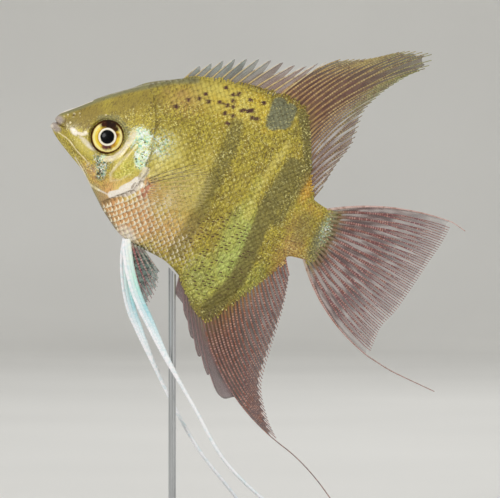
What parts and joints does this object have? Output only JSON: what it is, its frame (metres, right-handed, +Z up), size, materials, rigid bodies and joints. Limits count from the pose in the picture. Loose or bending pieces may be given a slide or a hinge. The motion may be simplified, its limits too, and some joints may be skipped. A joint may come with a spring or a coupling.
{
  "type": "freshwater angelfish",
  "caption": "Still life-size model of a tall thin fish with long swept fins and trailing threads, held head-up on a rod over a flat base.",
  "frame": {"origin": "centre of the bounding box on the underside of the base", "axes": "+Z up, -X the way the fish faces, -Y its left side"},
  "size_m": [0.1222, 0.058, 0.1493],
  "materials": {
    "head_skin": "wet olive-gold skin",
    "lip_skin": "wet tan skin",
    "gill_cover_skin": "gold with a turquoise sheen",
    "flank_scales": "glossy olive-gold scales with dark bands",
    "tail_stalk_scales": "glossy brown-olive scales",
    "eye": "clear wet cornea over a yellow iris and black pupil",
    "dorsal_spines": "translucent grey-teal with pale spines",
    "dorsal_fin": "translucent rose-brown rays",
    "anal_spines": "translucent mauve-grey",
    "anal_fin": "translucent maroon rays",
    "caudal_fin": "translucent plum rays with clear membranes",
    "pectoral_fin": "almost clear",
    "pelvic_fin": "mint-white with maroon rays",
    "pelvic_filament": "bluish white",
    "rod_steel": "fine satin",
    "base_paint": "satin black"
  },
  "bodies": {
    "root": {"head": "head_skin", "lower_jaw": "lip_skin", "gill_cover_left": "gill_cover_skin", "gill_cover_right": "gill_cover_skin", "trunk": "flank_scales", "tail_stalk": "tail_stalk_scales", "eye_left": "eye", "eye_right": "eye", "dorsal_fin_spiny": "dorsal_spines", "dorsal_fin_soft": "dorsal_fin", "anal_fin_spiny": "anal_spines", "anal_fin_soft": "anal_fin", "caudal_fin": "caudal_fin", "pectoral_fin_left": "pectoral_fin", "pectoral_fin_right": "pectoral_fin", "pelvic_fin_left": "pelvic_fin", "pelvic_fin_right": "pelvic_fin", "pelvic_filament_left": "pelvic_filament", "pelvic_filament_right": "pelvic_filament", "stand_rod": "rod_steel", "stand_base": "base_paint"}
  },
  "joints": []
}
